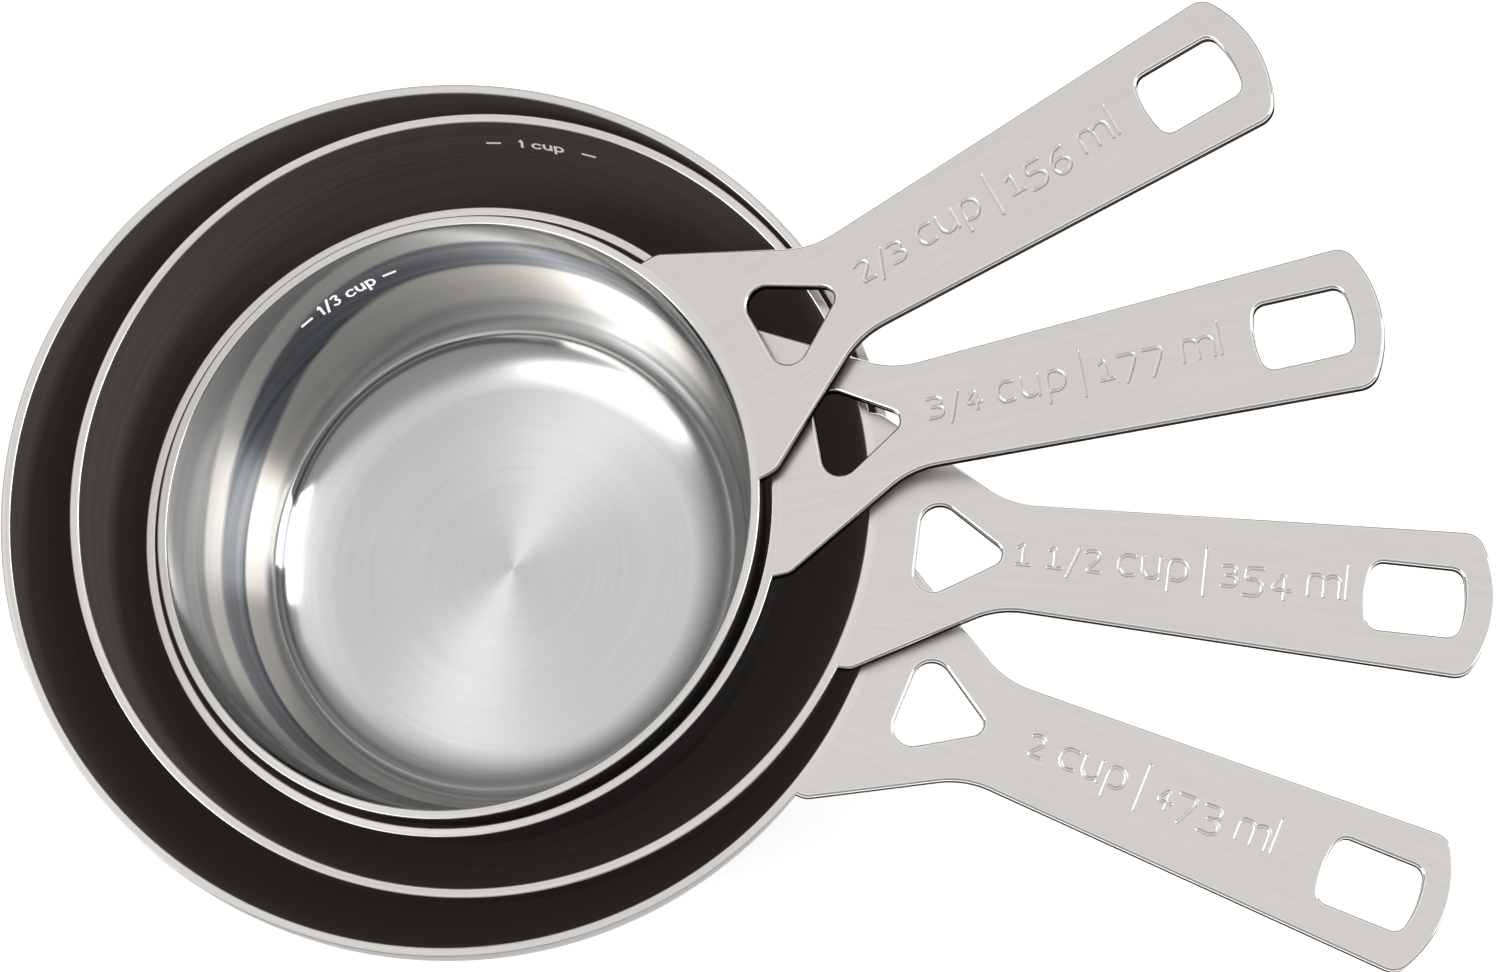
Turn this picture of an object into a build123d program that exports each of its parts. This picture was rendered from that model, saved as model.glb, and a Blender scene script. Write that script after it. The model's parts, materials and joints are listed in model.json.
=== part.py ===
from build123d import *
import math
import os

# Set of four nested measuring cups.  Millimetres, +Z up.
# The origin is the middle of the underside of the largest cup's base, +X runs
# out along the fanned handles, and every cup leans in the next larger one.

# Sheet and plate
wall = 1.4                  # bowl wall and floor
plate = 2.0                 # handle plate
weld_in = 0.02              # how far the butt-welded plate runs into the wall
clear = 0.3                 # gap left where one cup rests in the next
rim_round = 0.3             # inner lip of every rim
edge_round = 0.4            # polished edges of the handle plates

# Largest bowl: inside radius at the rim and inside depth
rim_473, depth_473 = 61.4, 47.9
# Each smaller bowl: gap between its rim and the bowl around it, and how much shallower it is
gap_354, step_354 = 4.5, 4.2
gap_177, step_177 = 9.4, 10.3
gap_156, step_156 = 0.8, 1.1
rim_354, depth_354 = rim_473 - wall - gap_354, depth_473 - step_354
rim_177, depth_177 = rim_354 - wall - gap_177, depth_354 - step_177
rim_156, depth_156 = rim_177 - wall - gap_156, depth_177 - step_156
# Radii of the swept side and of the corner at the floor
sweep_473, corner_473 = 100.0, 13.0
sweep_354, corner_354 = 95.0, 12.0
sweep_177, corner_177 = 78.0, 10.0
sweep_156, corner_156 = 75.0, 10.0
draft = 3.0                 # taper of the wall just below the rim, degrees

# Handle outline, measured outwards from the outer wall of the bowl
reach = 86.0                # wall to the tip of the handle
ear_half = 18.5             # half width across the two ears of the fork
ear_end = -1.3              # where the ears start to slope in
neck_at, neck_half = 18.0, 7.5
end_half = 10.35
end_bulge = 18.0            # radius of the end
ear_round, neck_round, end_round = 3.0, 13.0, 3.0
window_at, window_tip, window_half = 5.9, 19.1, 8.45
window_round, window_tip_round = 2.7, 1.7
hang_at, hang_long, hang_wide, hang_bow = 75.0, 12.0, 9.7, 0.8
hang_round = 1.8

# Stamped capacity figures
figure_high = 3.0           # of a small letter, and of the figures in a fraction
figure_wide = 2.2
figure_gap = 0.8
figure_low = -1.1           # the line they stand on, from the handle's middle
figure_line = 0.45
figure_deep = 0.25
figure_at = 42.6            # middle of the legend, from the wall
tall_wide = 2.9             # the larger figures of the millilitres
tall_drop = 1.0             # how far they hang below the line

# Which way each handle points and which way each cup leans, degrees
turn_473, turn_354, turn_177, turn_156 = -21.7, -6.3, 10.7, 28.7
lean_354, lean_177, lean_156 = -22.0, -6.0, 40.0
# How far each rim centre sits off the axis of the cup around it
shift_354, shift_177, shift_156 = (3.1, 2.2), (-2.2, -1.5), (-0.45, 0.25)

# Strokes of the stamped figures, on a cell one wide and one high
STROKES = {
    "1": [[(0.1, 0.8), (0.5, 1.0), (0.5, 0.0)], [(0.1, 0.0), (0.95, 0.0)]],
    "2": [[(0.05, 0.9), (0.3, 1.0), (0.65, 1.0), (0.88, 0.87), (0.88, 0.62), (0.05, 0.0), (0.98, 0.0)]],
    "3": [[(0.05, 0.97), (0.6, 1.0), (0.88, 0.87), (0.88, 0.66), (0.62, 0.54), (0.3, 0.54)],
          [(0.62, 0.54), (0.95, 0.4), (0.95, 0.16), (0.65, 0.0), (0.05, 0.03)]],
    "4": [[(0.72, 0.0), (0.72, 1.0), (0.0, 0.32), (1.0, 0.32)]],
    "5": [[(0.9, 1.0), (0.15, 1.0), (0.12, 0.58), (0.6, 0.6), (0.92, 0.45), (0.92, 0.17), (0.62, 0.0),
           (0.05, 0.02)]],
    "6": [[(0.85, 0.98), (0.45, 0.92), (0.12, 0.6), (0.07, 0.25), (0.3, 0.0), (0.68, 0.0), (0.95, 0.17),
           (0.95, 0.42), (0.68, 0.57), (0.3, 0.55), (0.1, 0.38)]],
    "7": [[(0.0, 1.0), (0.98, 1.0), (0.3, 0.0)]],
    "/": [[(0.0, -0.35), (1.0, 1.08)]],
    "|": [[(0.0, -0.55), (0.0, 1.65)]],
    "c": [[(0.95, 0.95), (0.45, 1.0), (0.12, 0.78), (0.07, 0.3), (0.4, 0.0), (0.95, 0.06)]],
    "u": [[(0.08, 1.0), (0.08, 0.3), (0.3, 0.02), (0.65, 0.02), (0.92, 0.25)], [(0.92, 1.0), (0.92, 0.0)]],
    "p": [[(0.08, -0.5), (0.08, 0.97), (0.62, 1.0), (0.93, 0.75), (0.93, 0.28), (0.62, 0.0), (0.12, 0.06)]],
    "m": [[(0.03, 0.0), (0.03, 1.0), (0.36, 1.0), (0.5, 0.82), (0.5, 0.0)],
          [(0.5, 0.82), (0.66, 1.0), (0.85, 1.0), (0.97, 0.8), (0.97, 0.0)]],
    "l": [[(0.0, 1.6), (0.0, 0.0)]],
}
# Cells that are not the common width
WIDTHS = {"1": 2.1, "/": 1.5, "c": 2.5, "u": 2.9, "p": 2.9, "m": 4.6, "l": 0.0, "|": 0.0, " ": 0.7}


class Bowl:
    """Sizes of one drawn bowl, worked out from its rim, depth and curvature."""

    def __init__(self, rim, depth, sweep, corner):
        self.rim, self.depth, self.sweep, self.corner = rim, depth, sweep, corner
        start = math.sin(math.radians(draft))
        self.end = math.degrees(math.asin((depth - corner + sweep * start) / (sweep - corner)))
        self.sweep_mid = (rim - sweep * math.cos(math.radians(draft)), sweep * start)
        self.floor = self.sweep_mid[0] + (sweep - corner) * math.cos(math.radians(self.end))
        self.corner_mid = (self.floor, corner - depth)
        self.outer = self.radius_at(0.0)
        self.high = depth + wall

    def radius_at(self, drop):
        """Outside radius a given drop below the rim, on the swept part of the wall."""
        rise = self.sweep_mid[1] + drop
        return self.sweep_mid[0] + math.sqrt((self.sweep + wall) ** 2 - rise ** 2)


def resting(inner, outer, shift, turn, lean):
    """Lean and height of a cup whose floor edge and handle rest in the cup around it."""
    offset = shift[0] * math.cos(math.radians(lean)) + shift[1] * math.sin(math.radians(lean))
    across = neck_half + (ear_half - neck_half) * max(0.0, 1.0 - (outer.rim - inner.outer) / neck_at)
    side = math.radians(abs(turn - lean)) + math.asin(across / outer.rim)
    arm = outer.rim * math.cos(side) - offset
    corner = inner.corner + wall

    def rim_height(angle):
        low = corner + (inner.high - corner) * math.cos(angle) + inner.floor * math.sin(angle)
        return low - outer.depth + clear

    low, high = 0.0, math.radians(40.0)
    for _ in range(60):
        angle = (low + high) / 2
        gap = rim_height(angle) + arm * math.tan(angle) - plate / math.cos(angle)
        if gap < clear:
            low = angle
        else:
            high = angle
    return math.degrees(angle), rim_height(angle)


def nested(around, shift, height, angle, lean):
    """Place of a leaning cup, with its rim centre as the origin."""
    tip = Rot(0, 0, lean) * Rot(0, -angle, 0) * Rot(0, 0, -lean)
    return around * Pos(shift[0], shift[1], height) * tip


def section_of(place):
    """Plane through a cup's axis: local x outwards, local y up the axis."""
    return Plane(place * Rot(90, 0, 0))


def bowl_outline(bowl, grow):
    """Closed half section of a bowl's inside (grow 0) or outside (grow wall)."""
    rise = bowl.sweep_mid[1]
    start = math.degrees(math.asin(rise / (bowl.sweep + grow)))
    with BuildSketch() as section:
        with BuildLine():
            side = CenterArc(bowl.sweep_mid, bowl.sweep + grow, -start, start - bowl.end)
            CenterArc(bowl.corner_mid, bowl.corner + grow, -bowl.end, bowl.end - 90)
            base = (0, -bowl.depth - grow)
            Line((bowl.floor, -bowl.depth - grow), base)
            Line(base, (0, 0))
            Line((0, 0), side @ 0)
        make_face()
    return section.sketch


def handle_outline(bowl):
    """Outline of the plate, run well inside the bowl so that it can be trimmed to the wall."""
    base = bowl.outer
    end_x = base + reach - end_bulge + math.sqrt(end_bulge ** 2 - end_half ** 2)
    inside = (base - 2 * wall - 8, ear_half)
    ear = (base + ear_end, ear_half)
    neck = (base + neck_at, neck_half)
    corner = (end_x, end_half)
    with BuildSketch() as plan:
        with BuildLine():
            Polyline(inside, ear, neck, corner)
            ThreePointArc(corner, (base + reach, 0), (end_x, -end_half))
            Polyline((end_x, -end_half), (neck[0], -neck_half), (ear[0], -ear_half), (inside[0], -ear_half))
            Line((inside[0], -ear_half), inside)
        make_face()
        for spot, size in ((ear, ear_round), (neck, neck_round), (corner, end_round)):
            pair = [v for v in plan.vertices() if abs(v.X - spot[0]) < 0.01 and abs(v.Y) < spot[1] + 0.01]
            fillet(pair, size)
    return plan.sketch


def window_outline(bowl):
    """Rounded triangle in the root of the handle, its flat side towards the bowl."""
    near, tip = bowl.outer + window_at, bowl.outer + window_tip
    with BuildSketch() as window:
        with BuildLine():
            Polyline((near, window_half), (tip, 0), (near, -window_half), close=True)
        make_face()
        fillet(window.vertices().sort_by(Axis.X)[-1], window_tip_round)
        fillet(window.vertices().sort_by(Axis.X)[:2], window_round)
    return window.sketch


def hang_outline(bowl):
    """Hang hole: a rounded rectangle whose two ends bow outwards."""
    left, right = bowl.outer + hang_at - hang_long / 2, bowl.outer + hang_at + hang_long / 2
    half = hang_wide / 2
    with BuildSketch() as hang:
        with BuildLine():
            Line((left, half), (right, half))
            ThreePointArc((right, half), (right + hang_bow, 0), (right, -half))
            Line((right, -half), (left, -half))
            ThreePointArc((left, -half), (left - hang_bow, 0), (left, half))
        make_face()
        fillet(hang.vertices(), hang_round)
    return hang.sketch


def legend_cells(text):
    """(letter, left side, width, hang below the line) of every figure, and the legend's whole width."""
    cells, left = [], 0.0
    for at, letter in enumerate(text):
        tall = at > text.index("|") + 2 and letter.isdigit()
        wide = tall_wide if tall else WIDTHS.get(letter, figure_wide)
        cells.append((letter, left, wide, tall_drop if tall else 0.0))
        left += wide + figure_gap
    return cells, left - figure_gap


def legend_outline(bowl, text):
    """Stamped figures: one narrow slot along each stroke."""
    cells, whole = legend_cells(text)
    start = bowl.outer + figure_at - whole / 2
    with BuildSketch() as legend:
        for letter, left, wide, hang in cells:
            high = figure_high + hang
            for stroke in STROKES.get(letter, []):
                spots = [Vector(start + left + x * wide, figure_low - hang + y * high) for x, y in stroke]
                for first, second in zip(spots, spots[1:]):
                    run = second - first
                    slant = math.degrees(math.atan2(run.Y, run.X))
                    with Locations((first + second) / 2):
                        SlotCenterToCenter(run.length, figure_line, rotation=slant)
    return legend.sketch


def make_cup(size, bowl, place, text):
    """Bowl and handle plate of one cup, each written to its own file."""
    section = section_of(place)
    top = Plane(place)
    axis = Axis(top.origin, top.z_dir)

    with BuildPart() as shell:
        with BuildSketch(section):
            add(bowl_outline(bowl, wall))
        revolve(axis=axis)
        with BuildSketch(section):
            add(bowl_outline(bowl, 0.0))
        revolve(axis=axis, mode=Mode.SUBTRACT)
        lip = [e for e in shell.edges().filter_by(GeomType.CIRCLE) if abs(e.radius - bowl.rim) < 0.01]
        fillet(lip, rim_round)
    shell.part.label = f"bowl_{size}"

    with BuildPart() as handle:
        with BuildSketch(top):
            add(handle_outline(bowl))
            add(window_outline(bowl), mode=Mode.SUBTRACT)
            add(hang_outline(bowl), mode=Mode.SUBTRACT)
        extrude(amount=-plate)
        flat = [f for f in handle.faces() if abs(abs(f.normal_at().dot(top.z_dir)) - 1) < 0.001]
        fillet([e for f in flat for e in f.edges()], edge_round)
        with BuildSketch(section):
            add(bowl_outline(bowl, wall - weld_in))
        revolve(axis=axis, mode=Mode.SUBTRACT)
        with BuildSketch(top):
            add(legend_outline(bowl, text))
        extrude(amount=-figure_deep, mode=Mode.SUBTRACT)
    handle.part.label = f"handle_{size}"

    for piece in (shell, handle):
        export_step(piece.part, f"parts/{piece.part.label}.step")


bowl_473 = Bowl(rim_473, depth_473, sweep_473, corner_473)
bowl_354 = Bowl(rim_354, depth_354, sweep_354, corner_354)
bowl_177 = Bowl(rim_177, depth_177, sweep_177, corner_177)
bowl_156 = Bowl(rim_156, depth_156, sweep_156, corner_156)

place_473 = Pos(0, 0, bowl_473.high)
angle_354, height_354 = resting(bowl_354, bowl_473, shift_354, turn_354, lean_354)
place_354 = nested(place_473, shift_354, height_354, angle_354, lean_354)
angle_177, height_177 = resting(bowl_177, bowl_354, shift_177, turn_177, lean_177)
place_177 = nested(place_354, shift_177, height_177, angle_177, lean_177)
angle_156, height_156 = resting(bowl_156, bowl_177, shift_156, turn_156, lean_156)
place_156 = nested(place_177, shift_156, height_156, angle_156, lean_156)
os.makedirs("parts", exist_ok=True)
make_cup("473", bowl_473, place_473 * Rot(0, 0, turn_473), "2 cup | 473 ml")
make_cup("354", bowl_354, place_354 * Rot(0, 0, turn_354), "1 1/2 cup | 354 ml")
make_cup("177", bowl_177, place_177 * Rot(0, 0, turn_177), "3/4 cup | 177 ml")
make_cup("156", bowl_156, place_156 * Rot(0, 0, turn_156), "2/3 cup | 156 ml")
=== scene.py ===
"""Looks of the nested measuring cup set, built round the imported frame.  Blender 4.5, metres."""

import json
import math

import bpy
import numpy as np
from mathutils import Matrix, Vector
from mathutils.geometry import tessellate_polygon


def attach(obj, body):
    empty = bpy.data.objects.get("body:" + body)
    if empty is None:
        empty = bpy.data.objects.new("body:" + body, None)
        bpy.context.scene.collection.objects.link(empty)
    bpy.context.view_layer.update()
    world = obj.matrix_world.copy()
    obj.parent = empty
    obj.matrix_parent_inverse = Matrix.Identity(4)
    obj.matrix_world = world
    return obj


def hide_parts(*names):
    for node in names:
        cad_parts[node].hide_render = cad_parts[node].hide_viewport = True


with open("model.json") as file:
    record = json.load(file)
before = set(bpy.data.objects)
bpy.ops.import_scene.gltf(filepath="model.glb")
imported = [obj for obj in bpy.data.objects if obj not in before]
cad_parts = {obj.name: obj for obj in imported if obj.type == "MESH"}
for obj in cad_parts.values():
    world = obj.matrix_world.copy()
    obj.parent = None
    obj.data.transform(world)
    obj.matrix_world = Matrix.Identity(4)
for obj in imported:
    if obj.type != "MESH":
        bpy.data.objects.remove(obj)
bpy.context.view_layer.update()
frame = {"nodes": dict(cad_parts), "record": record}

MM = 0.001
SIZES = ("473", "354", "177", "156")

# ---------------------------------------------------------------- camera
camera = bpy.data.objects.new("camera", bpy.data.cameras.new("camera"))
bpy.context.scene.collection.objects.link(camera)
aim = Matrix.Rotation(math.radians(0.5678), 3, "Y") @ Matrix.Rotation(math.radians(13.9422), 3, "X")
aim = aim @ Matrix.Rotation(math.radians(0.85), 3, "Z")
camera.location = Vector((0.049206, -0.175820, 0.776164)) - aim.col[1] * 0.00035
camera.rotation_euler = aim.to_euler()
camera.data.sensor_width = 36.0
camera.data.lens = 128.4
camera.data.clip_start, camera.data.clip_end = 0.05, 20.0
bpy.context.scene.camera = camera

# ---------------------------------------------------------------- sizes, millimetres
WALL, PLATE, DRAFT = 1.4, 2.0, 3.0
BOWLS = {
    "473": {"rim": 61.4, "depth": 47.9, "sweep": 100.0, "corner": 13.0},
    "354": {"rim": 55.5, "depth": 43.7, "sweep": 95.0, "corner": 12.0},
    "177": {"rim": 44.7, "depth": 33.4, "sweep": 78.0, "corner": 10.0},
    "156": {"rim": 42.5, "depth": 32.3, "sweep": 75.0, "corner": 10.0},
}
LEGENDS = {"473": "2 cup | 473 ml", "354": "1 1/2 cup | 354 ml", "177": "3/4 cup | 177 ml", "156": "2/3 cup | 156 ml"}
REACH, EAR_HALF, EAR_END = 86.0, 18.5, -1.3
NECK_AT, NECK_HALF, END_HALF, END_BULGE = 18.0, 7.5, 10.35, 18.0
EAR_ROUND, NECK_ROUND, END_ROUND = 3.0, 13.0, 3.0
WINDOW_AT, WINDOW_TIP, WINDOW_HALF, WINDOW_ROUND, WINDOW_TIP_ROUND = 5.9, 19.1, 8.45, 2.7, 1.7
HANG_AT, HANG_LONG, HANG_WIDE, HANG_BOW, HANG_ROUND = 75.0, 12.0, 9.7, 0.8, 1.8
EDGE_ROUND, RIM_ROUND = 0.4, 0.3
FIGURE_HIGH, FIGURE_WIDE, FIGURE_GAP, FIGURE_LOW, FIGURE_AT = 3.0, 2.2, 0.8, -1.1, 42.6
TALL_WIDE, TALL_DROP, FIGURE_LINE, FIGURE_DEEP = 2.9, 1.0, 0.38, 0.085

STROKES = {
    "1": [[(0.1, 0.8), (0.5, 1.0), (0.5, 0.0)], [(0.1, 0.0), (0.95, 0.0)]],
    "2": [[(0.05, 0.9), (0.3, 1.0), (0.65, 1.0), (0.88, 0.87), (0.88, 0.62), (0.05, 0.0), (0.98, 0.0)]],
    "3": [[(0.05, 0.97), (0.6, 1.0), (0.88, 0.87), (0.88, 0.66), (0.62, 0.54), (0.3, 0.54)],
          [(0.62, 0.54), (0.95, 0.4), (0.95, 0.16), (0.65, 0.0), (0.05, 0.03)]],
    "4": [[(0.72, 0.0), (0.72, 1.0), (0.0, 0.32), (1.0, 0.32)]],
    "5": [[(0.9, 1.0), (0.15, 1.0), (0.12, 0.58), (0.6, 0.6), (0.92, 0.45), (0.92, 0.17), (0.62, 0.0),
           (0.05, 0.02)]],
    "6": [[(0.85, 0.98), (0.45, 0.92), (0.12, 0.6), (0.07, 0.25), (0.3, 0.0), (0.68, 0.0), (0.95, 0.17),
           (0.95, 0.42), (0.68, 0.57), (0.3, 0.55), (0.1, 0.38)]],
    "7": [[(0.0, 1.0), (0.98, 1.0), (0.3, 0.0)]],
    "/": [[(0.0, -0.35), (1.0, 1.08)]],
    "|": [[(0.0, -0.55), (0.0, 1.65)]],
    "c": [[(0.95, 0.95), (0.45, 1.0), (0.12, 0.78), (0.07, 0.3), (0.4, 0.0), (0.95, 0.06)]],
    "u": [[(0.08, 1.0), (0.08, 0.3), (0.3, 0.02), (0.65, 0.02), (0.92, 0.25)], [(0.92, 1.0), (0.92, 0.0)]],
    "p": [[(0.08, -0.5), (0.08, 0.97), (0.62, 1.0), (0.93, 0.75), (0.93, 0.28), (0.62, 0.0), (0.12, 0.06)]],
    "m": [[(0.03, 0.0), (0.03, 1.0), (0.36, 1.0), (0.5, 0.82), (0.5, 0.0)],
          [(0.5, 0.82), (0.66, 1.0), (0.85, 1.0), (0.97, 0.8), (0.97, 0.0)]],
    "l": [[(0.0, 1.6), (0.0, 0.0)]],
}
# Cells that are not the common width
WIDTHS = {"1": 2.1, "/": 1.5, "c": 2.5, "u": 2.9, "p": 2.9, "m": 4.6, "l": 0.0, "|": 0.0, " ": 0.7}


# ---------------------------------------------------------------- where each cup is
def node_points(name):
    points = np.zeros(len(frame["nodes"][name].data.vertices) * 3)
    frame["nodes"][name].data.vertices.foreach_get("co", points)
    return points.reshape(-1, 3)


def cup_place(size):
    """Matrix of a cup: origin at the rim's centre, x along the handle, z up the axis."""
    mount = next(m for m in frame["record"]["mounts"] if m["name"] == "hang_hole_" + size)
    up = np.array(mount["axis"], float)
    up /= np.linalg.norm(up)
    hole = np.array(mount["pos_m"], float)
    points = node_points("bowl_" + size)
    height = points @ up
    ring = points[height > height.max() - 2e-6]
    side = np.cross(up, [1.0, 0.0, 0.0])
    side /= np.linalg.norm(side)
    across = np.cross(side, up)
    a, b = ring @ across, ring @ side
    middle = np.array([(a.max() + a.min()) / 2, (b.max() + b.min()) / 2])
    far = np.hypot(a - middle[0], b - middle[1])
    edge = far > far.max() - 0.0002
    rows = np.c_[2 * a[edge], 2 * b[edge], np.ones(edge.sum())]
    fit = np.linalg.lstsq(rows, a[edge] ** 2 + b[edge] ** 2, rcond=None)[0]
    origin = across * fit[0] + side * fit[1] + up * height.max()
    out = hole - origin
    out -= up * (out @ up)
    out /= np.linalg.norm(out)
    return Matrix(
        [[out[i], np.cross(up, out)[i], up[i], origin[i]] for i in range(3)] + [[0, 0, 0, 1]]
    )


# ---------------------------------------------------------------- bowls
def bowl_numbers(size):
    b = dict(BOWLS[size])
    start = math.sin(math.radians(DRAFT))
    b["end"] = math.asin((b["depth"] - b["corner"] + b["sweep"] * start) / (b["sweep"] - b["corner"]))
    b["mid"] = (b["rim"] - b["sweep"] * math.cos(math.radians(DRAFT)), b["sweep"] * start)
    b["floor"] = b["mid"][0] + (b["sweep"] - b["corner"]) * math.cos(b["end"])
    b["outer"] = b["mid"][0] + math.sqrt((b["sweep"] + WALL) ** 2 - b["mid"][1] ** 2)
    return b


def side_curve(b, grow, steps=40):
    """(r, z, nr, nz) from the floor's edge up to the rim plane, on the inside (grow 0) or outside."""
    corner_r, sweep_r = b["corner"] + grow, b["sweep"] + grow
    turns = np.linspace(math.pi / 2, b["end"], steps)
    rows = [(b["floor"] + corner_r * math.cos(t), b["corner"] - b["depth"] - corner_r * math.sin(t),
             math.cos(t), -math.sin(t)) for t in turns]
    top = math.asin(b["mid"][1] / sweep_r)
    turns = np.linspace(b["end"], top, steps + 14)[1:]
    rows += [(b["mid"][0] + sweep_r * math.cos(t), b["mid"][1] - sweep_r * math.sin(t),
              math.cos(t), -math.sin(t)) for t in turns]
    return rows


def bowl_profile(b, lip):
    """Closed run of (r, z, nr, nz): inside floor, up the wall, over the rim, down to the underside."""
    inside = [(r, z, -nr, -nz) for r, z, nr, nz in side_curve(b, 0.0)]
    outside = side_curve(b, WALL)
    floor = [(r, -b["depth"], 0.0, 1.0) for r in np.linspace(0.0, b["floor"], 26)[:-1]]
    under = [(r, -b["depth"] - WALL, 0.0, -1.0) for r in np.linspace(b["floor"], 0.0, 14)[1:]]
    run = floor + [p for p in inside if p[1] < -RIM_ROUND - 1e-6]
    marks = {"inside_end": len(run) - 1}
    for t in np.linspace(0.0, math.pi / 2, 7):
        run.append((b["rim"] + RIM_ROUND * (1 - math.cos(t)), -RIM_ROUND * (1 - math.sin(t)),
                    -math.cos(t), math.sin(t)))
    marks["rim_from"] = len(run) - 1
    if lip > 0:
        for t in np.linspace(0.0, math.pi / 2, 6):
            run.append((b["outer"] - lip * (1 - math.sin(t)), -lip * (1 - math.cos(t)),
                        math.sin(t), math.cos(t)))
    marks["rim_to"] = len(run) - 6
    run += [p for p in reversed(outside) if p[1] < -lip - 1e-6] + under
    return run, marks


def smooth(x):
    x = np.clip(x, 0.0, 1.0)
    return x * x * (3 - 2 * x)


def make_bowl(size, place):
    """A turned bowl with its rim's outer edge rounded everywhere but along the welded handle."""
    b = bowl_numbers(size)
    columns = 320
    run, marks = bowl_profile(b, 0.22)
    run = np.array(run)
    count = len(run)
    fork = math.asin(EAR_HALF / b["outer"])
    angles = np.linspace(0, 2 * math.pi, columns, endpoint=False)
    lip_rows = range(marks["rim_to"], marks["rim_to"] + 6)
    along = np.r_[0.0, np.cumsum(np.hypot(np.diff(run[:, 0]), np.diff(run[:, 1])))]
    vertices, normals = [], []
    for angle in angles:
        away = abs((angle + math.pi) % (2 * math.pi) - math.pi)
        sharp = 1.0 - smooth((away - fork) / 0.02 + 0.5)
        ring = run.copy()
        for i in lip_rows:
            ring[i, 0] += (b["outer"] - ring[i, 0]) * sharp
            ring[i, 1] += (0.0 - ring[i, 1]) * sharp
            ring[i, 2] *= 1 - sharp
            ring[i, 3] = ring[i, 3] * (1 - sharp) + sharp
        c, s = math.cos(angle), math.sin(angle)
        vertices.append(np.c_[ring[:, 0] * c, ring[:, 0] * s, ring[:, 1]])
        normals.append(np.c_[ring[:, 2] * c, ring[:, 2] * s, ring[:, 3]])
    vertices, normals = np.array(vertices), np.array(normals)
    keep = slice(1, count - 1)
    points = vertices[:, keep].reshape(-1, 3)
    norms = normals[:, keep].reshape(-1, 3)
    inner = count - 2
    points = np.vstack([points, [[0, 0, run[0, 1]], [0, 0, run[-1, 1]]]])
    norms = np.vstack([norms, [[0, 0, 1], [0, 0, -1]]])
    pole_in, pole_out = len(points) - 2, len(points) - 1
    faces, uvs, kinds = [], [], []
    for k in range(columns):
        n = (k + 1) % columns
        u0, u1 = k / columns, (k + 1) / columns
        faces.append((pole_in, k * inner, n * inner))
        uvs.append(((u0 + u1) / 2, 0.0, u0, along[1], u1, along[1]))
        kinds.append(0)
        for i in range(inner - 1):
            row = i + 1
            faces.append((k * inner + i, k * inner + i + 1, n * inner + i + 1, n * inner + i))
            uvs.append((u0, along[row], u0, along[row + 1], u1, along[row + 1], u1, along[row]))
            kinds.append(0 if row < marks["rim_from"] - 3 else 1 if row < marks["rim_to"] + 3 else 2)
        faces.append((k * inner + inner - 1, pole_out, n * inner + inner - 1))
        uvs.append((u0, along[-2], (u0 + u1) / 2, along[-1], u1, along[-2]))
        kinds.append(2)
    piece = add_mesh("visual_bowl_" + size, points, faces, norms, place, uvs)
    piece.data.polygons.foreach_set("material_index", kinds)
    return piece, along[marks["rim_from"]]


# ---------------------------------------------------------------- meshes
def add_mesh(name, points_mm, faces, normals, place, uvs=None, flip=False):
    """A mesh with exact normals, its vertices already in the row frame."""
    if flip:
        faces = [tuple(reversed(f)) for f in faces]
        if uvs is not None:
            uvs = [tuple(x for pair in reversed(list(zip(u[::2], u[1::2]))) for x in pair) for u in uvs]
    turn = np.array(place.to_3x3())
    world = np.array(points_mm) * MM @ turn.T + np.array(place.translation)
    mesh = bpy.data.meshes.new(name)
    mesh.from_pydata(world.tolist(), [], [tuple(int(i) for i in f) for f in faces])
    if uvs is not None:
        layer = mesh.uv_layers.new(name="UVMap")
        layer.data.foreach_set("uv", [x for u in uvs for x in u])
    mesh.polygons.foreach_set("use_smooth", [True] * len(mesh.polygons))
    if normals is not None:
        turned = np.array(normals) @ turn.T
        turned /= np.maximum(np.linalg.norm(turned, axis=1, keepdims=True), 1e-9)
        mesh.normals_split_custom_set_from_vertices(turned.tolist())
    mesh.update()
    piece = bpy.data.objects.new(name, mesh)
    bpy.context.scene.collection.objects.link(piece)
    return piece


# ---------------------------------------------------------------- handle outline
def line_fillet(before, corner, after, radius, step=0.3):
    """Points along a rounded corner between two straight edges."""
    a = np.array(before, float) - corner
    c = np.array(after, float) - corner
    a /= np.linalg.norm(a)
    c /= np.linalg.norm(c)
    half = math.acos(np.clip(a @ c, -1, 1)) / 2
    back = radius / math.tan(half)
    middle = np.array(corner, float) + (a + c) / np.linalg.norm(a + c) * radius / math.sin(half)
    p0, p1 = corner + a * back - middle, corner + c * back - middle
    t0, t1 = math.atan2(p0[1], p0[0]), math.atan2(p1[1], p1[0])
    turn = (t1 - t0 + math.pi) % (2 * math.pi) - math.pi
    steps = max(6, int(abs(turn) * radius / step))
    return [tuple(middle + radius * np.array([math.cos(t), math.sin(t)])) for t in t0 + turn * np.linspace(0, 1, steps)]


def edge_arc_fillet(point, along, centre, big, small):
    """Where a straight edge (through point, running outwards) rounds into an arc about centre."""
    d = np.array(along, float) / np.linalg.norm(along)
    n = np.array([-d[1], d[0]])
    if n[1] < 0:
        n = -n
    base = np.array(point, float) - n * small - np.array(centre, float)
    half_b = base @ d
    t = -half_b + math.sqrt(half_b ** 2 - base @ base + (big - small) ** 2)
    middle = base + d * t + centre
    on_arc = middle + (middle - centre) / np.linalg.norm(middle - centre) * small
    t0 = math.atan2(n[1], n[0])
    t1 = math.atan2(*(on_arc - middle)[::-1])
    return [tuple(middle + small * np.array([math.cos(t), math.sin(t)])) for t in np.linspace(t0, t1, 12)], on_arc


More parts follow.
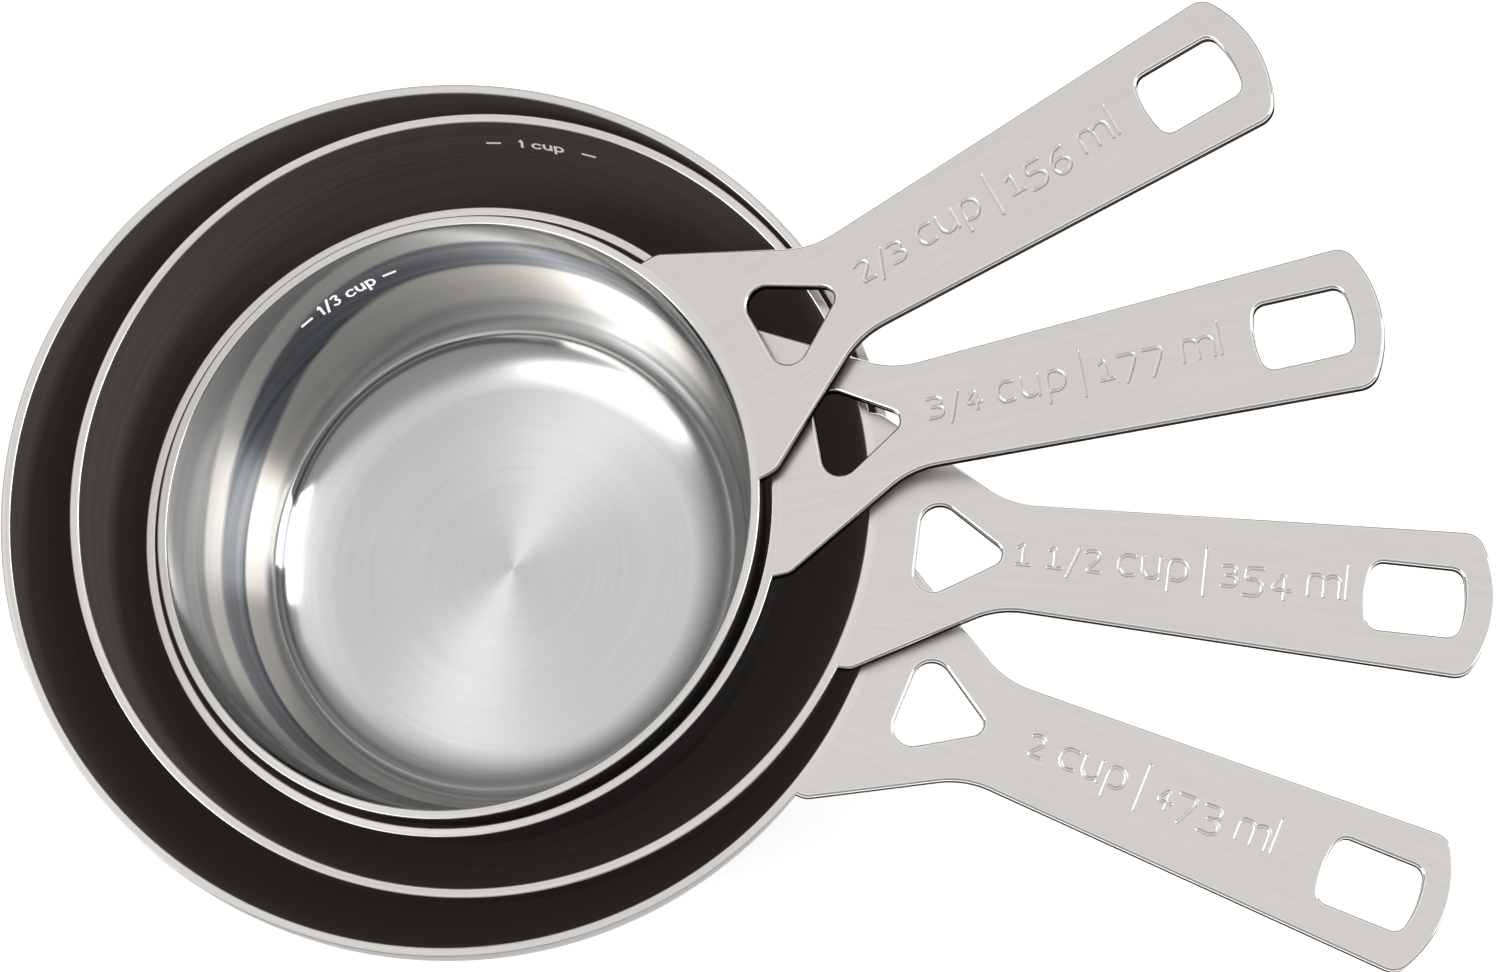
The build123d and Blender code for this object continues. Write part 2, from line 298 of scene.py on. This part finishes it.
def arc_to_axis(start, centre, big):
    """Points on an arc from start down to the axis y = 0."""
    t0 = math.atan2(start[1] - centre[1], start[0] - centre[0])
    steps = max(4, int(big * t0 / 0.35))
    return [(centre[0] + big * math.cos(t), centre[1] + big * math.sin(t)) for t in np.linspace(t0, 0, steps)[1:]]


def spread(points, step):
    """Extra points along long straight runs."""
    out = []
    for a, b in zip(points, points[1:]):
        n = max(1, int(math.dist(a, b) / step))
        out += [(a[0] + (b[0] - a[0]) * i / n, a[1] + (b[1] - a[1]) * i / n) for i in range(n)]
    return out + [points[-1]]


def mirrored(upper):
    """A full loop from its upper half, which starts and ends on or above the axis."""
    lower = [(x, -y) for x, y in reversed(upper)]
    if abs(upper[-1][1]) < 1e-6:
        lower = lower[1:]
    if abs(upper[0][1]) < 1e-6:
        lower = lower[:-1]
    return upper + lower


def plate_loops(b):
    """Outer run (ear to ear, without the side along the bowl), window loop and hang-hole loop."""
    base = b["outer"]
    ear, neck = (base + EAR_END, EAR_HALF), (base + NECK_AT, NECK_HALF)
    arc_mid = (base + REACH - END_BULGE, 0.0)
    end = (base + REACH - END_BULGE + math.sqrt(END_BULGE ** 2 - END_HALF ** 2), END_HALF)
    start = (math.sqrt(base ** 2 - EAR_HALF ** 2), EAR_HALF)
    upper = [start] + line_fillet((0, EAR_HALF), ear, neck, EAR_ROUND)
    upper += line_fillet(ear, neck, end, NECK_ROUND)
    corner, on_arc = edge_arc_fillet(end, (end[0] - neck[0], end[1] - neck[1]), arc_mid, END_BULGE, END_ROUND)
    upper += corner + arc_to_axis(on_arc, arc_mid, END_BULGE)
    outer = mirrored(spread(upper, 1.0))

    near, tip = base + WINDOW_AT, base + WINDOW_TIP
    half = [(near, 0.0)] + line_fillet((near, 0), (near, WINDOW_HALF), (tip, 0), WINDOW_ROUND)
    peak = line_fillet((near, WINDOW_HALF), (tip, 0), (near, -WINDOW_HALF), WINDOW_TIP_ROUND)
    half += [p for p in peak if p[1] > 1e-6]
    window = mirrored(spread(half, 0.8))

    wide = HANG_WIDE / 2
    big = (wide ** 2 + HANG_BOW ** 2) / (2 * HANG_BOW)
    right = base + HANG_AT + HANG_LONG / 2 + HANG_BOW
    corner, on_arc = edge_arc_fillet((base + HANG_AT, wide), (1, 0), (right - big, 0.0), big, HANG_ROUND)
    quarter = [(base + HANG_AT, wide)] + corner + arc_to_axis(on_arc, (right - big, 0.0), big)
    left = [(2 * (base + HANG_AT) - x, y) for x, y in reversed(quarter)]
    hang = mirrored(spread(left + quarter[1:], 0.8))
    return outer, window, hang


def loop_normals(points, closed=True):
    """Outward unit normals of a run of points that goes clockwise round solid."""
    p = np.array(points, float)
    if closed:
        d = np.roll(p, -1, 0) - np.roll(p, 1, 0)
    else:
        d = np.gradient(p, axis=0)
    d /= np.maximum(np.linalg.norm(d, axis=1, keepdims=True), 1e-9)
    return np.c_[-d[:, 1], d[:, 0]]


def softened(line, rounds=2):
    """A run of points with its corners cut."""
    for _ in range(rounds if len(line) > 2 else 0):
        new = [line[0]]
        for a, c in zip(line, line[1:]):
            new.append((a[0] * 0.8 + c[0] * 0.2, a[1] * 0.8 + c[1] * 0.2))
            new.append((a[0] * 0.2 + c[0] * 0.8, a[1] * 0.2 + c[1] * 0.8))
        line = new + [line[-1]]
    return line


def legend_lines(text):
    """Strokes of a stamped legend starting at x = 0, and its width."""
    lines, left = [], 0.0
    for at, letter in enumerate(text):
        tall = at > text.index("|") + 2 and letter.isdigit()
        wide = TALL_WIDE if tall else WIDTHS.get(letter, FIGURE_WIDE)
        hang = TALL_DROP if tall else 0.0
        for stroke in STROKES.get(letter, []):
            lines.append(softened([(left + x * wide, FIGURE_LOW - hang + y * (FIGURE_HIGH + hang)) for x, y in stroke]))
        left += wide + FIGURE_GAP
    return lines, left - FIGURE_GAP


def distance_to(lines, x, y):
    best = np.full(x.shape, 1e9)
    for line in lines:
        for (ax, ay), (bx, by) in zip(line, line[1:]):
            dx, dy = bx - ax, by - ay
            t = np.clip(((x - ax) * dx + (y - ay) * dy) / max(dx * dx + dy * dy, 1e-9), 0, 1)
            best = np.minimum(best, np.hypot(x - ax - t * dx, y - ay - t * dy))
    return best


def make_handle(size, place):
    b = bowl_numbers(size)
    outer, window, hang = plate_loops(b)
    points, normals, faces, uvs = [], [], [], []

    def add(p, n):
        points.append(tuple(p))
        normals.append(tuple(n))
        return len(points) - 1

    turns = np.linspace(0, math.pi / 2, 6)
    levels = [(EDGE_ROUND * (1 - math.sin(t)), -EDGE_ROUND * (1 - math.cos(t)), math.sin(t), math.cos(t)) for t in turns]
    levels += [(0.0, -PLATE + EDGE_ROUND * (1 - math.sin(t)), math.cos(t), -math.sin(t)) if False else
               (EDGE_ROUND * (1 - math.cos(t)), -PLATE + EDGE_ROUND * (1 - math.sin(t)), math.cos(t), -math.sin(t))
               for t in turns]

    def radius_at(z):
        return b["mid"][0] + math.sqrt((b["sweep"] + WALL) ** 2 - (b["mid"][1] - z) ** 2)

    arc_steps = 60
    outer_normals = loop_normals(outer, closed=False)
    outer_normals[0], outer_normals[-1] = (0, 1), (0, -1)
    rings = []
    for inset, z, out, up in levels:
        ring = []
        for i, ((x, y), n) in enumerate(zip(outer, outer_normals)):
            p = np.array([x, y]) - n * inset
            if i in (0, len(outer) - 1):
                p[0] = math.sqrt(radius_at(z) ** 2 - p[1] ** 2)
            ring.append(add((p[0], p[1], z), (n[0] * out, n[1] * out, up)))
        limit = EAR_HALF - inset
        for t in np.linspace(-1, 1, arc_steps)[1:-1]:
            y = limit * t
            x = math.sqrt(radius_at(z) ** 2 - y * y)
            flat = 1.0 if z > -1e-6 else 0.0
            ring.append(add((x, y, z), (-(1 - flat) * x / 50.0, -(1 - flat) * y / 50.0, up if abs(up) > 0.5 else 0.0) if not flat else (0, 0, 1)))
        rings.append(ring)
    hole_rings = []
    for loop in (window, hang):
        hole_normals = -loop_normals(loop)
        these = []
        for inset, z, out, up in levels:
            ring = []
            for (x, y), n in zip(loop, hole_normals):
                p = np.array([x, y]) - n * inset
                ring.append(add((p[0], p[1], z), (n[0] * out, n[1] * out, up)))
            these.append(ring)
        hole_rings.append(these)

    finish_and_shade_zones = []

    def skin(these, turn_round):
        for level, (a, c) in enumerate(zip(these, these[1:])):
            n = len(a)
            # Index 1, the top rounds, is polished and lightened for a painted highlight; index 2, the sides and lower
            # rounds, is painted shade.
            finish_and_shade_zones.extend([1 if level < 5 else 2] * n)
            for i in range(n):
                j = (i + 1) % n
                quad = (a[i], a[j], c[j], c[i])
                faces.append(tuple(reversed(quad)) if turn_round else quad)

    skin(rings, False)
    for these in hole_rings:
        skin(these, True)

    # the stamped legend: a fine patch let into the top face
    lines, long = legend_lines(LEGENDS[size])
    start = b["outer"] + FIGURE_AT - long / 2
    lines = [[(x + start, y) for x, y in line] for line in lines]
    x0, x1 = start - 0.8, start + long + 0.8
    y0, y1 = -3.4, 4.5
    nx, ny = int((x1 - x0) / 0.1), int((y1 - y0) / 0.1)
    gx, gy = np.meshgrid(np.linspace(x0, x1, nx), np.linspace(y0, y1, ny), indexing="ij")
    far = distance_to(lines, gx, gy)
    groove = -FIGURE_DEEP * smooth((FIGURE_LINE / 2 + 0.08 - far) / 0.17)
    sx = np.gradient(groove, (x1 - x0) / (nx - 1), axis=0)
    sy = np.gradient(groove, (y1 - y0) / (ny - 1), axis=1)
    first = len(points)
    for i in range(nx):
        for j in range(ny):
            add((gx[i, j], gy[i, j], groove[i, j]), (-sx[i, j], -sy[i, j], 1.0))
    for i in range(nx - 1):
        for j in range(ny - 1):
            a = first + i * ny + j
            faces.append((a, a + ny, a + ny + 1, a + 1))
    patch = ([first + i * ny for i in range(nx)] + [first + (nx - 1) * ny + j for j in range(1, ny)]
             + [first + i * ny + ny - 1 for i in range(nx - 2, -1, -1)] + [first + j for j in range(ny - 2, 0, -1)])

    def cap(loops, upward):
        flat = [[Vector((points[i][0], points[i][1], 0)) for i in loop] for loop in loops]
        order = [i for loop in loops for i in loop]
        for tri in tessellate_polygon(flat):
            ids = [order[i] for i in tri]
            p = [points[i] for i in ids]
            area = (p[1][0] - p[0][0]) * (p[2][1] - p[0][1]) - (p[1][1] - p[0][1]) * (p[2][0] - p[0][0])
            if abs(area) < 1e-9:
                continue
            if (area > 0) != upward:
                ids.reverse()
            faces.append(tuple(ids))

    cap([rings[0], hole_rings[0][0], hole_rings[1][0], patch], True)
    cap([rings[-1], hole_rings[0][-1], hole_rings[1][-1]], False)
    for f in faces:
        uvs.append(tuple(v for i in f for v in (points[i][0] / 100.0, points[i][1] / 100.0)))
    piece = add_mesh("visual_handle_" + size, points, faces, normals, place, uvs)
    piece.data.polygons.foreach_set("material_index", finish_and_shade_zones + [0] * (len(faces) - len(finish_and_shade_zones)))
    return piece


# ---------------------------------------------------------------- fill marks inside two cups
MARK_STROKES = {
    "1": [[(0.0, 0.72), (0.45, 1.0), (0.45, 0.0)]],
    "3": [[(0.05, 0.85), (0.5, 1.0), (0.85, 0.78), (0.45, 0.55), (0.9, 0.28), (0.5, 0.0), (0.0, 0.15)]],
    "/": [[(0.0, -0.1), (0.8, 1.05)]],
    "c": [[(0.95, 0.52), (0.55, 0.66), (0.1, 0.5), (0.1, 0.14), (0.55, 0.0), (0.95, 0.12)]],
    "u": [[(0.1, 0.66), (0.1, 0.2), (0.45, 0.0), (0.85, 0.15)], [(0.88, 0.66), (0.88, 0.0)]],
    "p": [[(0.1, 0.66), (0.1, -0.32)], [(0.1, 0.5), (0.5, 0.66), (0.92, 0.48), (0.92, 0.16), (0.5, 0.0), (0.1, 0.14)]],
}
MARK_WIDTHS = {"1": 0.7, "/": 0.9, "3": 1.2, " ": 0.35}


def make_mark(size, text, azimuth, drop, spread_mm, high, place):
    """White figures between two dashes on the inside wall."""
    b = bowl_numbers(size)
    wide = sum(MARK_WIDTHS.get(c, 1.3) + 0.35 for c in text) - 0.35
    runs, left = [], -wide / 2
    for letter in text:
        cell = MARK_WIDTHS.get(letter, 1.3)
        for stroke in MARK_STROKES.get(letter, []):
            runs.append((softened([(left + x * cell, (y - 0.4) * high) for x, y in stroke], 1), 0.4))
        left += cell + 0.35
    for side in (-1, 1):
        runs.append(([(side * spread_mm - 0.9, 0.0), (side * spread_mm + 0.9, 0.0)], 0.5))
    points, normals, faces = [], [], []

    def on_wall(along, up):
        z = drop - up
        r = b["mid"][0] + math.sqrt(b["sweep"] ** 2 - (b["mid"][1] + z) ** 2)
        turn = math.radians(azimuth) - along / r
        slope = math.asin((b["mid"][1] + z) / b["sweep"])
        n = (-math.cos(turn) * math.cos(slope), -math.sin(turn) * math.cos(slope), math.sin(slope))
        return [r * math.cos(turn) + n[0] * 0.03, r * math.sin(turn) + n[1] * 0.03, -z + n[2] * 0.03], n

    for line, width in runs:
        line = np.array(line)
        ways = np.gradient(line, axis=0)
        ways /= np.linalg.norm(ways, axis=1, keepdims=True)
        line[0] -= ways[0] * width * 0.3
        line[-1] += ways[-1] * width * 0.3
        for (x, y), (dx, dy) in zip(line, ways):
            for side in (-0.5, 0.5):
                p, n = on_wall(x - dy * side * width, y + dx * side * width)
                points.append(p)
                normals.append(n)
        first = len(points) - 2 * len(line)
        for i in range(len(line) - 1):
            a = first + 2 * i
            faces.append((a + 1, a, a + 2, a + 3))
    return add_mesh("visual_mark_" + size, points, faces, normals, place)


# ---------------------------------------------------------------- materials
def new_material(name):
    material = bpy.data.materials.new(name)
    material.use_nodes = True
    tree = material.node_tree
    shader = tree.nodes["Principled BSDF"]
    return material, tree, shader


def node(tree, kind, inputs=None, **settings):
    made = tree.nodes.new(kind)
    for key, value in settings.items():
        setattr(made, key, value)
    for key, value in (inputs or {}).items():
        if hasattr(value, "is_output"):
            tree.links.new(value, made.inputs[key])
        else:
            made.inputs[key].default_value = value
    return made


def math_node(tree, operation, a, b=0.0, clamp=False):
    made = node(tree, "ShaderNodeMath", {0: a, 1: b}, operation=operation, use_clamp=clamp)
    return made.outputs[0]


def steel(name, colour, rough, lines, along_u, anisotropy, vary=0.10, bump=0.0, floor=None, painted_reflections=None, edge=1.0):
    """Stainless steel with fine lines. lines is how many per unit of the UV axis across them. The optional ramp of
    bands paints reflections into the colour; the dark gap shade colour is made half metallic with a faint painted glow.
    """
    material, tree, shader = new_material(name)
    uv = node(tree, "ShaderNodeUVMap", uv_map="UVMap")
    split = node(tree, "ShaderNodeSeparateXYZ", {0: uv.outputs[0]})
    u, v = split.outputs[0], split.outputs[1]
    if along_u:
        turn = math_node(tree, "MULTIPLY", u, 2 * math.pi)
        c = math_node(tree, "COSINE", turn)
        s = math_node(tree, "SINE", turn)
        fine = node(tree, "ShaderNodeCombineXYZ", {0: math_node(tree, "MULTIPLY", c, 0.8), 1: math_node(tree, "MULTIPLY", s, 0.8), 2: math_node(tree, "MULTIPLY", v, lines)})
        broad = node(tree, "ShaderNodeCombineXYZ", {0: math_node(tree, "MULTIPLY", c, 0.5), 1: math_node(tree, "MULTIPLY", s, 0.5), 2: math_node(tree, "MULTIPLY", v, lines * 0.12)})
    else:
        fine = node(tree, "ShaderNodeCombineXYZ", {0: math_node(tree, "MULTIPLY", u, 14.0), 1: math_node(tree, "MULTIPLY", v, lines), 2: 0.0})
        broad = node(tree, "ShaderNodeCombineXYZ", {0: math_node(tree, "MULTIPLY", u, 5.0), 1: math_node(tree, "MULTIPLY", v, lines * 0.1), 2: 0.0})
    hair = node(tree, "ShaderNodeTexNoise", {"Vector": fine.outputs[0], "Scale": 1.0, "Detail": 3.0})
    band = node(tree, "ShaderNodeTexNoise", {"Vector": broad.outputs[0], "Scale": 1.0, "Detail": 2.0})
    both = math_node(tree, "ADD", math_node(tree, "MULTIPLY", hair.outputs[0], 0.6), math_node(tree, "MULTIPLY", band.outputs[0], 0.4))
    centred = math_node(tree, "SUBTRACT", both, 0.5)
    shade = math_node(tree, "MULTIPLY_ADD", centred, vary * 2)
    shade.node.inputs[2].default_value = 1.0
    tint = node(tree, "ShaderNodeMix", {"Factor": 1.0}, data_type="RGBA", blend_type="MULTIPLY")
    rgb = node(tree, "ShaderNodeCombineColor", {0: shade, 1: shade, 2: shade})
    tree.links.new(rgb.outputs[0], tint.inputs[7])
    tint.inputs[6].default_value = (*colour, 1.0)
    finish = tint.outputs[2]
    # Painted reflections: light and dark bands that stand in for the studio's reflections, painted into the colour by
    # height up the wall and sliding lower round one side of the cup.
    if painted_reflections:
        at = math_node(tree, "MULTIPLY", v, 1 / 66.0)
        wander = math_node(tree, "MULTIPLY_ADD", math_node(tree, "SUBTRACT", band.outputs[0], 0.5), 0.03)
        down = node(tree, "ShaderNodeMapRange", {"Value": u, "From Min": 0.2, "From Max": 0.42, "To Min": 0.0, "To Max": 0.17}, interpolation_type="SMOOTHSTEP")
        back = node(tree, "ShaderNodeMapRange", {"Value": u, "From Min": 0.75, "From Max": 0.98, "To Min": 1.0, "To Max": 0.0}, interpolation_type="SMOOTHSTEP")
        wall = node(tree, "ShaderNodeMapRange", {"Value": v, "From Min": 33.0, "From Max": 45.0})
        slide = math_node(tree, "MULTIPLY", math_node(tree, "MULTIPLY", down.outputs[0], back.outputs[0]), wall.outputs[0])
        tree.links.new(math_node(tree, "ADD", at, slide), wander.node.inputs[2])
        ramp = node(tree, "ShaderNodeValToRGB", {"Fac": wander})
        while len(ramp.color_ramp.elements) < len(painted_reflections):
            ramp.color_ramp.elements.new(1.0)
        for stop, (place, shade_of) in zip(ramp.color_ramp.elements, painted_reflections):
            stop.position = place
            stop.color = (*shade_of, 1.0)
        over = node(tree, "ShaderNodeMix", {0: math_node(tree, "MULTIPLY_ADD", band.outputs[0], 1.2, True), 6: finish, 7: ramp.outputs[0]}, data_type="RGBA", blend_type="MULTIPLY")
        finish = over.outputs[2]
        over.inputs[0].links[0].from_node.inputs[2].default_value = 0.25
    tree.links.new(finish, shader.inputs["Base Color"])
    rough_value = math_node(tree, "MULTIPLY_ADD", centred, rough * 0.5)
    rough_value.node.inputs[2].default_value = rough
    if floor:
        satin, edge, width = floor
        mask = node(tree, "ShaderNodeMapRange", {"Value": v, "From Min": edge - width, "From Max": edge + width, "To Min": satin, "To Max": 0.0}, interpolation_type="SMOOTHSTEP")
        rough_value = math_node(tree, "ADD", rough_value, mask.outputs[0])
    tree.links.new(rough_value, shader.inputs["Roughness"])
    # The dark gap colour is painted shade: the nested cups' insides are darkened as if shaded in their gaps, made half
    # metallic and given a faint warm painted glow.
    shader.inputs["Metallic"].default_value = 1.0 if colour != PAINTED_GAP_SHADE else 0.5
    if colour == PAINTED_GAP_SHADE:
        shader.inputs["Emission Color"].default_value = (1.0, 0.88, 0.76, 1)
        shader.inputs["Emission Strength"].default_value = 0.011
    shader.inputs["Specular Tint"].default_value = (edge, edge * 0.97, edge * 0.97, 1)
    shader.inputs["Anisotropic"].default_value = anisotropy
    shader.inputs["Anisotropic Rotation"].default_value = 0.25
    if anisotropy > 0:
        tangent = node(tree, "ShaderNodeTangent", direction_type="UV_MAP", uv_map="UVMap")
        tree.links.new(tangent.outputs[0], shader.inputs["Tangent"])
    if bump > 0:
        relief = node(tree, "ShaderNodeBump", {"Strength": bump, "Distance": 0.00002, "Height": both})
        tree.links.new(relief.outputs[0], shader.inputs["Normal"])
    return material


STEEL = (0.64, 0.62, 0.59)
POLISHED = (0.62, 0.62, 0.615)
# Painted shade: the colour of the insides of the three outer nested cups, darkened for the shade in their gaps.
PAINTED_GAP_SHADE = (0.16, 0.138, 0.118)
rim_steel = steel("rim_steel", STEEL, 0.28, 2.6, True, 0.5, vary=0.32)
outside_steel = steel("outside_steel", (0.50, 0.485, 0.495), 0.24, 3.0, True, 0.5, vary=0.06, edge=0.5)
handle_steel = steel("handle_steel", STEEL, 0.30, 900.0, False, 0.6, vary=0.17)
# Partly painted highlight: the top rounds of the handle plates are polished and also made lighter than the steel to
# give bright edge lines.
polished_edge_painted_highlight = steel("polished_edge_painted_highlight", (0.78, 0.76, 0.73), 0.08, 300.0, False, 0.2, vary=0.05)
# Painted shade: the plates' sides and lower rounds are dark, with a darkened edge tint, as if in shadow.
painted_shade_side_steel = steel("painted_shade_side_steel", (0.13, 0.115, 0.10), 0.3, 300.0, False, 0.2, vary=0.05, edge=0.16)


mark_whites = {}
# The fill marks are white print that also glows, a painted light that keeps them bright inside the cups.
for size, shade_of, glow in (("156", 0.9, 0.5), ("354", 0.6, 0.3)):
    mark_whites[size], mark_tree, mark_shader = new_material("mark_white_" + size)
    mark_shader.inputs["Roughness"].default_value = 0.6
    mark_shader.inputs["Base Color"].default_value = (shade_of, shade_of, shade_of, 1)
    mark_shader.inputs["Emission Color"].default_value = (1, 1, 1, 1)
    mark_shader.inputs["Emission Strength"].default_value = glow
MARKS = {"156": ("1/3 cup", 90.3, 9.8, 7.0, 2.6), "354": ("1 cup", 88.2, 7.1, 7.0, 2.4)}

# ---------------------------------------------------------------- build every cup
# Painted reflections: light and dark bands of reflected studio painted round the smallest cup's inside wall.
PAINTED_REFLECTION_BANDS = [
    (0.0, (1.0, 1.0, 1.0)), (0.56, (1.05, 1.05, 1.05)), (0.59, (0.72, 0.73, 0.75)), (0.61, (1.2, 1.17, 1.12)),
    (0.64, (0.85, 0.85, 0.86)), (0.67, (1.3, 1.24, 1.15)), (0.785, (1.3, 1.24, 1.14)), (0.80, (0.22, 0.245, 0.29)),
    (0.90, (0.2, 0.22, 0.26)), (0.915, (1.15, 1.11, 1.05)), (0.975, (1.1, 1.06, 1.0)), (0.99, (0.5, 0.49, 0.48)),
]
# The 156 ml cup's inside is polished steel with the painted reflection bands; the other three insides take the painted
# gap shade.
INSIDES = {
    size: (POLISHED, 0.045, 3.5, True, 0.7, 0.11, 0.05, (0.28, bowl_numbers(size)["floor"] + 6.0, 4.0), PAINTED_REFLECTION_BANDS) if size == "156"
    else (PAINTED_GAP_SHADE, 0.22, 1.6, True, 0.4, 0.6, 0.1)
    for size in SIZES
}
for size in SIZES:
    place = cup_place(size)
    body = "cup_" + size
    bowl, rim_start = make_bowl(size, place)
    inside_steel = steel("inside_steel_" + size, *INSIDES[size])
    for material in (inside_steel, rim_steel, outside_steel):
        bowl.data.materials.append(material)
    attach(bowl, body)
    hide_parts("bowl_" + size)
    handle = make_handle(size, place)
    handle.data.materials.append(handle_steel)
    handle.data.materials.append(polished_edge_painted_highlight)
    handle.data.materials.append(painted_shade_side_steel)
    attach(handle, body)
    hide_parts("handle_" + size)

    if size in MARKS:
        mark = make_mark(size, *MARKS[size], place)
        mark.data.materials.append(mark_whites[size])
        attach(mark, body)

# ---------------------------------------------------------------- floor and light
floor_mesh = bpy.data.meshes.new("floor")
reach = 3.0
floor_mesh.from_pydata([(-reach, -reach, 0), (reach, -reach, 0), (reach, reach, 0), (-reach, reach, 0)], [], [(0, 1, 2, 3)])
floor_piece = bpy.data.objects.new("floor", floor_mesh)
bpy.context.scene.collection.objects.link(floor_piece)
floor_material, floor_tree, floor_shader = new_material("floor")
floor_shader.inputs["Base Color"].default_value = (0.9, 0.9, 0.9, 1)
floor_shader.inputs["Roughness"].default_value = 0.9
floor_shader.inputs["Emission Color"].default_value = (1, 1, 1, 1)
floor_shader.inputs["Emission Strength"].default_value = 0.5
floor_mesh.materials.append(floor_material)

world = bpy.data.worlds.new("studio")
bpy.context.scene.world = world
world.use_nodes = True
background = world.node_tree.nodes["Background"]
sky = node(world.node_tree, "ShaderNodeTexCoord")
sky_z = node(world.node_tree, "ShaderNodeSeparateXYZ", {0: sky.outputs["Generated"]})
sky_ramp = node(world.node_tree, "ShaderNodeValToRGB", {"Fac": sky_z.outputs[2]})
sky_ramp.color_ramp.elements[0].position, sky_ramp.color_ramp.elements[0].color = 0.10, (0.03, 0.03, 0.033, 1)
sky_ramp.color_ramp.elements[1].position, sky_ramp.color_ramp.elements[1].color = 0.30, (0.38, 0.385, 0.40, 1)
world.node_tree.links.new(sky_ramp.outputs[0], background.inputs["Color"])
background.inputs["Strength"].default_value = 1.0


def softbox(name, where, target, width, height, power, colour=(1, 1, 1)):
    light = bpy.data.objects.new(name, bpy.data.lights.new(name, "AREA"))
    bpy.context.scene.collection.objects.link(light)
    light.data.shape = "RECTANGLE"
    light.data.size, light.data.size_y = width, height
    light.data.energy = power
    light.data.color = colour
    light.location = where
    light.rotation_euler = (Vector(target) - Vector(where)).to_track_quat("-Z", "Y").to_euler()


softbox("above", (0.0, 0.35, 1.5), (0, 0, 0), 2.2, 1.6, 7.5, (1.0, 0.985, 0.965))
softbox("right", (1.18, 0.17, 0.9), (0, 0, 0.03), 0.9, 0.8, 11)
softbox("left", (-1.05, -0.4, 0.9), (0, 0, 0.03), 0.6, 1.1, 9)

bpy.context.scene.view_settings.view_transform = "Standard"
